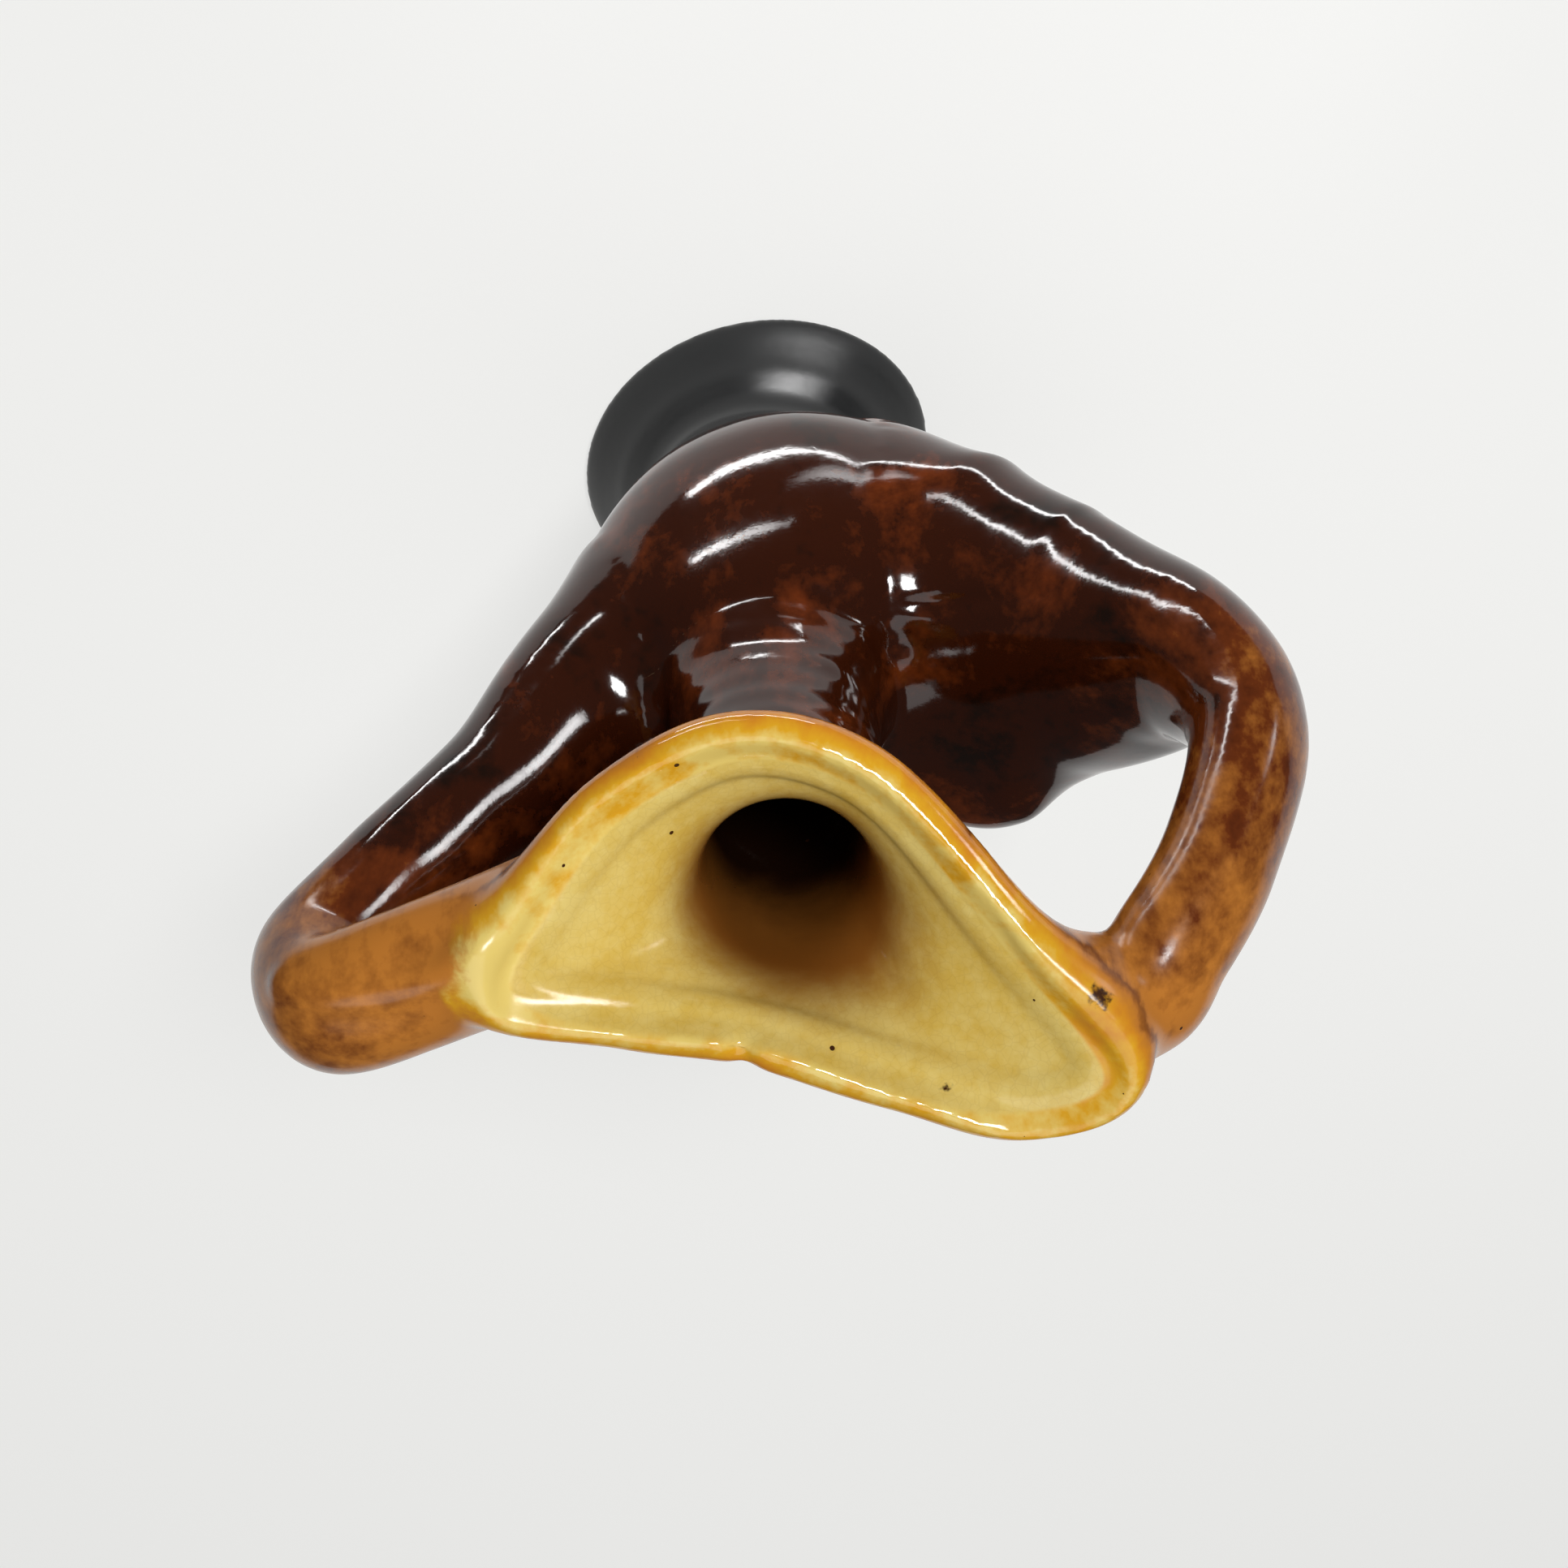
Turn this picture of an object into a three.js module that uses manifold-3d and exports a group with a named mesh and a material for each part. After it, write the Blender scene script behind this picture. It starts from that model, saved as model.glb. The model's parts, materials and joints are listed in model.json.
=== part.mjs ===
// Free-form ceramic vase, hand built from eight clay members luted together with slip:
// an oval base slab, a flared foot, a swelling body, a neck, a three-cornered funnel mouth,
// a thick rim coil and two solid arms that loop from the shoulders up to the mouth corners.
// Millimetres, +Z up. The origin is the middle of the base, and the low lip faces -Y.

import * as THREE from 'three';
import { mergeVertices } from 'three/addons/utils/BufferGeometryUtils.js';
import Module from 'manifold-3d';

const { clamp, degToRad, lerp } = THREE.MathUtils;

// Wall of the hollow members, and the layer of slip between all of them
const WALL = 5.5;
const SLIP_GAP = 0.3;

// Base slab and foot
const BASE_THICKNESS = 7;
const BASE_EDGE_ROUND = 2.5;
const FOOT_HALF_WIDTH = 45;
const FOOT_HALF_DEPTH = 37;
const FOOT_HEIGHT = 30;
const WAIST_HALF_WIDTH = 27;
const WAIST_HALF_DEPTH = 24.5;

// Body, from the waist to the root of the neck
const BODY_HEIGHT = 92;
const BELLY_HALF_WIDTH = 47;
const BELLY_HALF_DEPTH = 41;
const BELLY_RISE = 52;
const BELLY_SHIFT = -5;
const SHOULDER_HALF_WIDTH = 40;
const SHOULDER_HALF_DEPTH = 32;
const SHOULDER_DROP = 11;

// Neck
const NECK_RADIUS = 20;
const NECK_ROOT_RADIUS = 24;
const NECK_HEIGHT = 50;
const NECK_LEAN = 4;

// Funnel mouth and rim coil
const FLARE_TURN = degToRad(18);
const RIM_THICKNESS = 8.5;
const RIM_HEIGHT = 7.5;

// Middle of the wall under the rim, counter-clockwise from above: x, y and rise above the neck
const RIM_OUTLINE = {
  rightCorner: [43.5, -8, 30],
  backRight: [28, 4.5, 30],
  backPinch: [12, 13, 31],
  back: [-10, 27, 35.5],
  backLeft: [-29, 35.5, 40.5],
  leftCorner: [-42.5, 32, 42.5],
  left: [-34, 11.5, 30],
  frontLeft: [-18.5, -17, 15],
  frontLip: [-2, -27, 13],
  frontRight: [19, -25, 16.5],
  right: [34, -17, 24],
};

// Arm stations: x and y from the axis, z from the root of the neck or the foot of the funnel, then
// half the thickness across the loop, half the depth from front to back and the twist in degrees
const LEFT_ARM_LOWER = [
  [-6, 4, -74, 14, 18, 0],
  [-25, 8, -51, 25.5, 32, 8],
  [-42, 14, -23, 24, 37.5, 20],
  [-63, 13, -2, 19.5, 28, 12],
  [-80, 9, 20, 13.5, 18, 0],
];
const LEFT_ARM_UPPER = [
  [-84, 12, -10, 10.5, 12.5, 0],
  [-72, 21, 12, 9.5, 11.5, 0],
  [-60, 28, 24, 9.5, 12, 0],
  [-52, 33, 28, 10, 14, 0],
];
const RIGHT_ARM_LOWER = [
  [6, 3, -60, 18, 24, 0],
  [37, 3, -16, 19, 30, 0],
  [56, 0, 16, 14, 22, 0],
  [73, -4, 42, 11.5, 16, 0],
];
const RIGHT_ARM_UPPER = [
  [82.5, -7, 11, 10.5, 13.5, 0],
  [78, -8, 23, 10, 13, 0],
  [62, -9, 24, 10, 13, 0],
];

// Where an arm spreads under its corner of the mouth, and the tip that ends inside the funnel
const ARM_JOIN_HALF_THICK = 10;
const ARM_JOIN_HALF_DEPTH = 13;
const ARM_JOIN_SHARE = 0.82;
const ARM_JOIN_DROP = 14;
const ARM_TIP_RADIUS = 8;
const ARM_TIP_SHARE = 0.2;
const ARM_TIP_RISE = 9;

// Fineness of the facets
const AROUND = 48;
const FUNNEL_STEPS = 9;
const RIM_SIDES = 12;
const ARM_SIDES = 22;
const ARM_STEPS = 26;

// Heights of the luted joints
const waistZ = FOOT_HEIGHT;
const neckRootZ = waistZ + BODY_HEIGHT;
const funnelZ = neckRootZ + NECK_HEIGHT;

// Levels of the rings that each thrown member is drawn through
const steps = (from, to, count) => Array.from({ length: count + 1 }, (_, k) => lerp(from, to, k / count));
const footLevels = steps(BASE_THICKNESS + SLIP_GAP, waistZ - SLIP_GAP, 7);
const bodyLevels = steps(waistZ, neckRootZ - SLIP_GAP, 14);
const neckLevels = steps(neckRootZ, funnelZ - SLIP_GAP, 5);

const wasm = await Module();
wasm.setup();

// Glazes: black at the foot, treacle brown over the body, amber on the arms, honey in the mouth
const glaze = (color, roughness) => new THREE.MeshStandardMaterial({ color, roughness, metalness: 0 });
const blackGlaze = glaze(0x1d1a1a, 0.12);
const brownGlaze = glaze(0x43160c, 0.08);
const amberGlaze = glaze(0x7a3f14, 0.1);
const honeyGlaze = glaze(0xcdb36a, 0.12);
const rimGlaze = glaze(0xd8a83a, 0.1);

const vector = (x, y, z) => new THREE.Vector3(x, y, z);

function geometryFrom(points, triangles) {
  const geometry = new THREE.BufferGeometry().setFromPoints(points);
  geometry.setIndex(triangles);
  return geometry;
}

function centreOf(ring) {
  return ring.reduce((total, p) => total.add(p), vector(0, 0, 0)).divideScalar(ring.length);
}

// Two triangles for each step round between two neighbouring rings of the same length
function ringBand(lower, upper, count) {
  const triangles = [];
  for (let i = 0; i < count; i += 1) {
    const next = (i + 1) % count;
    triangles.push(lower + i, lower + next, upper + next);
    triangles.push(lower + i, upper + next, upper + i);
  }
  return triangles;
}

// Solid through a stack of rings that run counter-clockwise about the way they climb
function loftSolid(rings) {
  const count = rings[0].length;
  const points = rings.flat();
  const triangles = [];
  for (let k = 0; k + 1 < rings.length; k += 1) {
    triangles.push(...ringBand(k * count, (k + 1) * count, count));
  }
  const last = (rings.length - 1) * count;
  const bottom = points.push(centreOf(rings[0])) - 1;
  const top = points.push(centreOf(rings.at(-1))) - 1;
  for (let i = 0; i < count; i += 1) {
    const next = (i + 1) % count;
    triangles.push(bottom, next, i);
    triangles.push(top, last + i, last + next);
  }
  return geometryFrom(points, triangles);
}

// Closed wall: up the outer rings, down the inner ones and back to the first
function loftWall(rings) {
  const count = rings[0].length;
  const triangles = [];
  for (let k = 0; k < rings.length; k += 1) {
    triangles.push(...ringBand(k * count, ((k + 1) % rings.length) * count, count));
  }
  return geometryFrom(rings.flat(), triangles);
}

function ovalRing(halfWidth, halfDepth, centre) {
  return Array.from({ length: AROUND }, (_, i) => {
    const angle = (2 * Math.PI * i) / AROUND;
    return vector(halfWidth * Math.cos(angle), halfDepth * Math.sin(angle), 0).add(centre);
  });
}

// One silhouette runs from the base slab to the foot of the funnel: half width, half depth, height
const silhouette = new THREE.CatmullRomCurve3([
  vector(FOOT_HALF_WIDTH, FOOT_HALF_DEPTH, BASE_THICKNESS / 2),
  vector(
    lerp(FOOT_HALF_WIDTH, WAIST_HALF_WIDTH, 0.55),
    lerp(FOOT_HALF_DEPTH, WAIST_HALF_DEPTH, 0.55),
    lerp(BASE_THICKNESS, waistZ, 0.4)
  ),
  vector(WAIST_HALF_WIDTH, WAIST_HALF_DEPTH, waistZ),
  vector(BELLY_HALF_WIDTH, BELLY_HALF_DEPTH, waistZ + BELLY_RISE),
  vector(SHOULDER_HALF_WIDTH, SHOULDER_HALF_DEPTH, neckRootZ - SHOULDER_DROP),
  vector(NECK_ROOT_RADIUS, NECK_ROOT_RADIUS, neckRootZ),
  vector(NECK_RADIUS, NECK_RADIUS, neckRootZ + 0.3 * NECK_HEIGHT),
  vector(NECK_RADIUS, NECK_RADIUS, funnelZ),
]).getPoints(600);

// The belly swings to one side, and above the waist the pot leans back to the foot of the funnel
function axisAt(z) {
  const bodyShare = clamp((z - waistZ) / BODY_HEIGHT, 0, 1);
  const leanShare = clamp((z - waistZ) / (funnelZ - waistZ), 0, 1);
  return vector(BELLY_SHIFT * Math.sin(Math.PI * bodyShare) ** 2, NECK_LEAN * leanShare, z);
}

function sectionAt(z) {
  const upper = silhouette.findIndex((p, i) => i > 0 && p.z >= z - 1e-9);
  const low = silhouette[upper - 1];
  const high = silhouette[upper];
  const rise = high.z - low.z;
  const middle = low.clone().lerp(high, (z - low.z) / rise);
  return {
    halfWidth: middle.x,
    halfDepth: middle.y,
    widthSlope: (high.x - low.x) / rise,
    depthSlope: (high.y - low.y) / rise,
  };
}

function outerRing(z, grow = 0) {
  const { halfWidth, halfDepth } = sectionAt(z);
  return ovalRing(halfWidth + grow, halfDepth + grow, axisAt(z));
}

// The wall keeps its thickness square to the slope of the silhouette
function innerRing(z) {
  const section = sectionAt(z);
  const halfWidth = section.halfWidth - WALL * Math.hypot(1, section.widthSlope);
  const halfDepth = section.halfDepth - WALL * Math.hypot(1, section.depthSlope);
  return ovalRing(halfWidth, halfDepth, axisAt(z));
}

function thrownWall(levels) {
  const outer = levels.map((z) => outerRing(z));
  const inner = levels.map((z) => innerRing(z));
  return loftWall([...outer, ...inner.reverse()]);
}

function baseSlab() {
  const seat = sectionAt(BASE_THICKNESS);
  const round = BASE_EDGE_ROUND;
  const bevel = round * (1 - Math.SQRT1_2);
  return loftSolid([
    ovalRing(FOOT_HALF_WIDTH - round, FOOT_HALF_DEPTH - round, axisAt(0)),
    ovalRing(FOOT_HALF_WIDTH - bevel, FOOT_HALF_DEPTH - bevel, axisAt(bevel)),
    ovalRing(FOOT_HALF_WIDTH, FOOT_HALF_DEPTH, axisAt(round)),
    ovalRing(seat.halfWidth, seat.halfDepth, axisAt(BASE_THICKNESS)),
  ]);
}

// Stations round the rim: the point, the way along the rim, the way up the wall and the way out
const rimCurve = new THREE.CatmullRomCurve3(
  Object.values(RIM_OUTLINE).map(([x, y, rise]) => vector(x, y, funnelZ + rise)),
  true
);
const funnelCentre = axisAt(funnelZ);
const rimStations = Array.from({ length: AROUND }, (_, i) => {
  const point = rimCurve.getPointAt(i / AROUND);
  const along = rimCurve.getTangentAt(i / AROUND);
  const radial = point.clone().sub(funnelCentre).setZ(0);
  const reach = radial.length();
  radial.normalize();
  const middle = NECK_RADIUS - WALL / 2;
  const foot = funnelCentre.clone().addScaledVector(radial, middle);
  const flare = Math.atan2(reach - middle, point.z - funnelZ) + FLARE_TURN;
  const climb = radial.clone().multiplyScalar(Math.sin(flare)).setZ(Math.cos(flare));
  const up = climb.clone().addScaledVector(along, -climb.dot(along)).normalize();
  const out = vector(0, 0, 0).crossVectors(along, up);
  return { point, along, radial, foot, climb, up, out };
});

// Ring of the funnel at a share of the way from the neck to the rim, off the middle of its wall
function funnelRing(share, offset) {
  return rimStations.map((station) => {
    const bend = 0.4 * station.point.distanceTo(station.foot);
    const wall = new THREE.CubicBezierCurve3(
      station.foot,
      station.foot.clone().setZ(funnelZ + bend),
      station.point.clone().addScaledVector(station.climb, -bend),
      station.point
    );
    const along = vector(-station.radial.y, station.radial.x, 0).lerp(station.along, share ** 2);
    const out = vector(0, 0, 0).crossVectors(along, wall.getTangent(share)).normalize();
    return wall.getPoint(share).addScaledVector(out, offset);
  });
}

function solidOf(geometry) {
  const merged = mergeVertices(geometry);
  return new wasm.Manifold(new wasm.Mesh({
    numProp: 3,
    vertProperties: new Float32Array(merged.attributes.position.array),
    triVerts: new Uint32Array(merged.index.array),
  }));
}

function geometryOf(solid) {
  const mesh = solid.getMesh();
  const geometry = new THREE.BufferGeometry();
  geometry.setAttribute('position', new THREE.BufferAttribute(mesh.vertProperties, 3));
  geometry.setIndex(new THREE.BufferAttribute(mesh.triVerts, 1));
  return geometry;
}

function rimRing(across, above) {
  return rimStations.map(({ point, out, up }) => (
    point.clone().addScaledVector(out, across).addScaledVector(up, above)
  ));
}

const funnelShares = steps(0, 1, FUNNEL_STEPS);

function mouthFunnel() {
  const outer = funnelShares.map((share) => funnelRing(share, WALL / 2));
  const inner = funnelShares.map((share) => funnelRing(share, -WALL / 2));
  return loftWall([...outer, ...inner.reverse()]);
}

// A round coil lies on the funnel's edge; drawn one slip layer larger, it is what cuts the arms
function rimCoil(grow = 0) {
  const halfWidth = RIM_THICKNESS / 2 + grow;
  const halfHeight = RIM_HEIGHT / 2 + grow;
  const middle = SLIP_GAP + RIM_HEIGHT / 2;
  return loftWall(Array.from({ length: RIM_SIDES }, (_, k) => {
    const angle = (2 * Math.PI * k) / RIM_SIDES - Math.PI / 2;
    return rimRing(halfWidth * Math.cos(angle), middle + halfHeight * Math.sin(angle));
  }));
}

// The arms are cut to sit one slip layer off the vessel, and no arm reaches inside it
function vesselFilled() {
  const levels = [...footLevels, ...bodyLevels, ...neckLevels, funnelZ];
  return loftSolid(levels.map((z) => outerRing(z, SLIP_GAP)));
}

function mouthFilled() {
  const lid = rimStations.map(({ point }) => point.clone().setZ(point.z + RIM_THICKNESS + RIM_HEIGHT));
  return loftSolid([...funnelShares.map((share) => funnelRing(share, 0)), lid]);
}

function mouthGrown() {
  const half = WALL / 2 + SLIP_GAP;
  const outer = funnelShares.map((share) => funnelRing(share, half));
  const inner = funnelShares.map((share) => funnelRing(share, -half));
  const top = SLIP_GAP + RIM_HEIGHT / 2;
  return loftWall([...outer, rimRing(half, top), rimRing(-half, top), ...inner.reverse()]);
}

const armCutters = [vesselFilled(), mouthFilled(), mouthGrown(), rimCoil(SLIP_GAP)].map(solidOf);

// An arm's sections stand square to its route, with their depth kept close to the Y axis
function arm(lower, upper, corner) {
  const [cornerX, cornerY, rise] = corner;
  const stations = [
    ...lower.map(([x, y, z, ...section]) => [vector(x, y, neckRootZ + z), vector(...section)]),
    ...upper.map(([x, y, z, ...section]) => [vector(x, y, funnelZ + z), vector(...section)]),
    [
      vector(cornerX * ARM_JOIN_SHARE, cornerY * ARM_JOIN_SHARE, funnelZ + rise - ARM_JOIN_DROP),
      vector(ARM_JOIN_HALF_THICK, ARM_JOIN_HALF_DEPTH, 0),
    ],
    [
      vector(cornerX * ARM_TIP_SHARE, cornerY * ARM_TIP_SHARE, funnelZ + ARM_TIP_RISE),
      vector(ARM_TIP_RADIUS, ARM_TIP_RADIUS, 0),
    ],
  ];
  const route = new THREE.CatmullRomCurve3(stations.map(([place]) => place));
  const sections = new THREE.CatmullRomCurve3(stations.map(([, section]) => section));
  const rings = steps(0, 1, ARM_STEPS).map((share) => {
    const centre = route.getPoint(share);
    const along = route.getTangent(share);
    const { x: halfThick, y: halfDepth, z: twist } = sections.getPoint(share);
    const level = vector(0, 1, 0).addScaledVector(along, -along.y).normalize();
    const deep = level.applyAxisAngle(along, -degToRad(twist));
    const across = vector(0, 0, 0).crossVectors(deep, along);
    return Array.from({ length: ARM_SIDES }, (_, i) => {
      const angle = (2 * Math.PI * i) / ARM_SIDES;
      return centre.clone()
        .addScaledVector(across, halfThick * Math.cos(angle))
        .addScaledVector(deep, halfDepth * Math.sin(angle));
    });
  });
  const seated = armCutters.reduce((solid, cutter) => solid.subtract(cutter), solidOf(loftSolid(rings)));
  return geometryOf(seated);
}

function piece(name, geometry, material) {
  const mesh = new THREE.Mesh(geometry, material);
  mesh.name = name;
  return mesh;
}

const vase = new THREE.Group();
vase.name = 'vase';
vase.add(
  piece('base_slab', baseSlab(), blackGlaze),
  piece('foot_flare', thrownWall(footLevels), blackGlaze),
  piece('body', thrownWall(bodyLevels), brownGlaze),
  piece('neck', thrownWall(neckLevels), brownGlaze),
  piece('mouth_funnel', mouthFunnel(), honeyGlaze),
  piece('rim_coil', rimCoil(), rimGlaze),
  piece('left_arm', arm(LEFT_ARM_LOWER, LEFT_ARM_UPPER, RIM_OUTLINE.leftCorner), amberGlaze),
  piece('right_arm', arm(RIGHT_ARM_LOWER, RIGHT_ARM_UPPER, RIM_OUTLINE.rightCorner), amberGlaze)
);

export default vase;
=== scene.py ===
"""Free-form stoneware vase: the fired, glazed pot around its packed clay members."""

import json
import math
from functools import partial

import bmesh
import bpy
import numpy as np
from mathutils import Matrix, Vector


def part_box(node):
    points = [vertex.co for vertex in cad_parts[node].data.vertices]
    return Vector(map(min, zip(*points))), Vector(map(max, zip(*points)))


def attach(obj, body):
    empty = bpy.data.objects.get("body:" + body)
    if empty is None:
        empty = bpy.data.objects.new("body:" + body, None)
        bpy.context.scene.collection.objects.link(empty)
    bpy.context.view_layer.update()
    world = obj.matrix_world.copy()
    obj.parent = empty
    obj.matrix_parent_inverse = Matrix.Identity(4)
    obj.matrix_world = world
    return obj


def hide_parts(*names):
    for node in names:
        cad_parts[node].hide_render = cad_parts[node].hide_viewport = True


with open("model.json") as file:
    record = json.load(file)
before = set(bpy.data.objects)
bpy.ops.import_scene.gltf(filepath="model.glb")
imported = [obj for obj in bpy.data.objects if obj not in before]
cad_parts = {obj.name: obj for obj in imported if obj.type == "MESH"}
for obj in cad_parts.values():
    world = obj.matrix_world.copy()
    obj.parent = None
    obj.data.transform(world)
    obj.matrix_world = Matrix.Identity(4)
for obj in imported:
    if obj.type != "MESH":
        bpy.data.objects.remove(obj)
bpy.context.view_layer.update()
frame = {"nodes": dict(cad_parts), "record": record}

import openvdb
from bpy.props import FloatProperty, FloatVectorProperty, IntProperty, PointerProperty
from mathutils import Quaternion, Vector
from mathutils.bvhtree import BVHTree

bl_info = {
    "name": "Free-form stoneware vase",
    "version": (1, 0, 0),
    "blender": (4, 5, 0),
    "location": "3D View > Sidebar > Vase",
    "description": "Models the fused clay of a hand-built vase, parts it into its members and glazes them",
    "category": "Add Mesh",
}

# One millimetre in Blender's metres: the clay is modelled in millimetres
MM = 0.001

# Middle of the wall under the rim, counter-clockwise from above: x, y and rise above the neck
RIM_OUTLINE = {
    "right_corner": (43.5, -8, 30),
    "back_right": (28, 4.5, 30),
    "back_pinch": (12, 13, 31),
    "back": (-10, 27, 35.5),
    "back_left": (-29, 35.5, 40.5),
    "left_corner": (-42.5, 32, 42.5),
    "left": (-34, 11.5, 30),
    "front_left": (-18.5, -17, 15),
    "front_lip": (-2, -27, 13),
    "front_right": (19, -25, 16.5),
    "right": (34, -17, 24),
}

# Arm stations: x and y from the axis, z from the root of the neck or the foot of the funnel, then
# half the thickness across the loop, half the depth from front to back and the twist in degrees
LEFT_ARM_LOWER = (
    (-6, 4, -74, 14, 18, 0),
    (-25, 8, -51, 25.5, 32, 8),
    (-42, 14, -23, 24, 37.5, 20),
    (-63, 13, -2, 19.5, 28, 12),
    (-80, 9, 20, 13.5, 18, 0),
)
LEFT_ARM_UPPER = (
    (-84, 12, -10, 10.5, 12.5, 0),
    (-72, 21, 12, 9.5, 11.5, 0),
    (-60, 26.5, 24, 9.5, 11.5, 0),
    (-52, 30.5, 29, 10, 12, 0),
)
RIGHT_ARM_LOWER = (
    (6, 3, -60, 18, 24, 0),
    (37, 4.5, -16, 18.5, 28, 0),
    (56, 1, 16, 13.5, 20.5, 0),
    (73, -4, 42, 11.5, 16, 0),
)
RIGHT_ARM_UPPER = (
    (82.5, -7, 11, 10.5, 13.5, 0),
    (78, -8, 23, 10, 13, 0),
    (62, -9, 24, 10, 13, 0),
)

# Where an arm spreads under its corner of the mouth, and the tip that ends inside the funnel
ARM_JOIN = {"half_thick": 10, "half_depth": 13, "share": 0.82, "drop": 14}
ARM_TIP = {"radius": 8, "share": 0.2, "rise": 9}

# Share of an arm's way at which it reaches the funnel, how soon its glaze turns amber on the way, and how
# far from the arm's middle that glaze starts and is full, in millimetres. The right arm turns amber sooner:
# partly painted light, which makes up for the lesser light that falls on that arm
ARM_END = 0.87
ARM_AMBER_AND_PAINTED_LIGHT = {"left_arm": 1, "right_arm": 1.08}
ARM_GLAZE = {"start": 32, "full": 14}

# Turn of the funnel's wall past the straight line from neck to rim, in degrees, and how slowly it bends
FLARE_TURN = 18
FUNNEL_BEND = 0.4

# The rim is lower and slimmer along its back, which lies this way, and slimmer where an arm comes in
RIM_BACK = {"way": (0.42, 0.91, 0), "start": -8, "end": 6, "lower": 0.05, "slimmer": 0.15}
RIM_CORNER = {"reach": 14, "slimmer": 0.5}

# Ripples that the fingers leave round the neck: depth and height of one, and the heights where they fade
THROWING_RING = {"depth": 0.06, "height": 6.5, "fade": 158, "end": 170}

# Camera of the photograph, in millimetres
CAMERA_PLACE = (-45, -163.8, 414.7)
CAMERA_AIM = (-2.9, -4.9, 163.7)

# Left front and right back corners of the table top, in millimetres; its front edge lets low lamps in
FLOOR_CORNERS = ((-1500, -168), (1500, 1800))

# Lamps: place and aim, width and height in millimetres, half the angle that a grid leaves open in degrees
# and brightness along the axis
LAMPS = {
    "key_softbox": ((-370, -420, 850), (0, 0, 120), (180, 220), 90, 42),
    "overhead_softbox": ((100, 150, 1300), (0, 0, 100), (1100, 1100), 90, 1.6),
    "front_strip": ((-55, -225, -31), (-30, 0, 90), (280, 15), 75, 30),
    "high_strip": ((-6, -225, 94), (-77, 0, 114), (170, 9), 40, 36),
    "side_strip": ((-420, -150, 185), (47, -12, 145), (70, 170), 9, 26),
    "foot_strip": ((-130, -190, 18), (-24, -25, 21), (240, 50), 24, 28),
}

# Pinches of the whole wall: path, width and depth in millimetres, raised where the depth is negative
PINCHES = (
    (((-24, 41, 117), (-33, 44.5, 120), (-41, 43, 124)), 9, -5),
    (((-51, 43, 127), (-60, 35, 133.5), (-68, 27, 141.5)), 9, 2.6),
    (((-54, -17, 96), (-58, -15, 102), (-64, -14, 109), (-69, -13, 116)), 12, -2),
)

# Finger marks in the wet skin: the same for dimples, creases and ridges
FINGER_MARKS = (
    (((20.4, -17.1, 119),), 3.2, 1.1),
    (((21.1, -5.3, 126.7),), 3.2, 1.1),
    (((-20.8, -7, 124.6), (-15.7, -9.3, 136.9)), 4, -1),
    (((-28.9, -1.7, 120.2),), 4, 0.9),
    (((-31.7, -7.6, 117), (-41, -6.3, 119.6), (-50.4, -6.8, 124.2), (-57.7, -7, 128.5)), 1.7, 0.5),
    (((12, 9, 212), (12, 19, 206)), 2.2, 1.5),
    (
        ((80, -18.5, 200.5), (75, -17.5, 203.5), (62, -14.3, 205.2), (55, -14.6, 205), (46.6, -17.5, 205)),
        3.2,
        -1.3,
    ),
)

# Amber that the left arm carries over its corner of the rim: place and radius in millimetres
AMBER_CORNER = (((-49, 22, 210), 15),)

# Burnt marks in the glaze: the same
BURNT_MARKS = (
    ((-45.8, 18.2, 213.7), 2.2),
    ((-47.5, 20.5, 212), 1.6),
    ((-17.7, 29.7, 212.2), 1.2),
    ((-17.2, 30.2, 210.5), 1.1),
)

# Glazes by slot: name of the finish and strength of its mirror image. All have the same layers, because the
# glazes run into each other, and differ in the layer that shows on their own piece
GLAZES = {
    # Nearly black and even, with a soft shine
    "black_glaze": ("black_glazed_stoneware", 0.35),
    # Dark, wet-looking brown with red clouds
    "brown_glaze": ("treacle_glazed_stoneware", 0.42),
    # Warm brown that runs from treacle to orange
    "amber_glaze": ("amber_glazed_stoneware", 0.42),
    # Pale, finely crackled yellow that turns toffee-brown down the throat, with near-black painted shade
    # deeper in
    "honey_glaze": ("honey_glazed_stoneware", 0.42),
    # Bright yellow that breaks to cream inside and orange outside
    "rim_glaze": ("yellow_glazed_stoneware", 0.42),
}

# Points round the vessel, and rings and sides of the arms, before the clay is fused
AROUND = 256
ARM_RINGS = 220
ARM_SIDES = 72

# Cells on either side of a skin that know their distance to it, and height of the plug that fills the mouth
GRID_REACH = 18
PLUG = 20

# Shrinking and swelling share of a stroke of the sponge
SPONGE_STROKE = (0.6, -0.63)

# Reach of a member's cell past its own skin and its gap to the next member, in millimetres, and the fewest
# corners of a real piece of clay
CELL_REACH = 7
CELL_GAP = 0.02
FEWEST_CORNERS = 200

# Low corner and far sides of the boxes that slice the thrown wall, in millimetres
SLICE_LOW = (-200, -200, -50)
SLICE_FAR = (200, 200)

# Width of the photograph's sensor, in millimetres
SENSOR = 36


def linear(code):
    """Linear red, green and blue of an sRGB hex colour."""
    channels = [int(code[i:i + 2], 16) / 255 for i in (0, 2, 4)]
    return tuple(c / 12.92 if c <= 0.04045 else ((c + 0.055) / 1.055) ** 2.4 for c in channels)


def size_property(title, description, millimetres):
    """A length that a user can change, kept in metres."""
    kind = {"unit": "LENGTH", "subtype": "DISTANCE"}
    return FloatProperty(name=title, description=description, default=millimetres * MM, min=0, **kind)


def colour_property(title, description, code):
    """A glaze or stage colour that a user can change."""
    kind = {"min": 0, "max": 1, "size": 3, "subtype": "COLOR"}
    return FloatVectorProperty(name=title, description=description, default=linear(code), **kind)


def level_property(title, description, level):
    """A plain number that a user can change."""
    return FloatProperty(name=title, description=description, default=level, min=0)


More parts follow.
